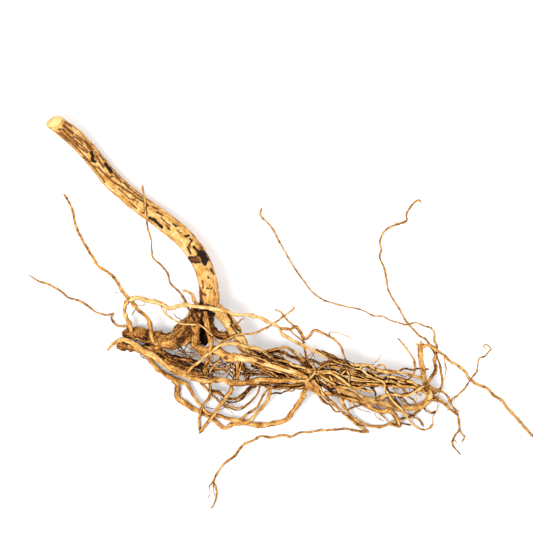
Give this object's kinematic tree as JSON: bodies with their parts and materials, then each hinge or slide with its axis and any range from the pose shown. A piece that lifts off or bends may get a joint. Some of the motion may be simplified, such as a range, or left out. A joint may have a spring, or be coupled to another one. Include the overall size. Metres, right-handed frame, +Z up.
{
  "type": "dried melastoma root",
  "caption": "Dried shrub root lying flat: a sawn stem stump, a swollen crown, and tangled woody roots with long thin runners.",
  "frame": {"origin": "middle of the outline, on the surface that the root lies on", "axes": "+Z up from the surface, +X along the long way of the outline, towards the thin right-hand whiskers; the sawn end of the stem is at -X +Y"},
  "size_m": [0.347, 0.266, 0.0317],
  "materials": {
    "root_wood": "matte, dry, streaked bark with scraped pale wood"
  },
  "bodies": {
    "root": {"melastoma_root": "root_wood"}
  },
  "joints": []
}
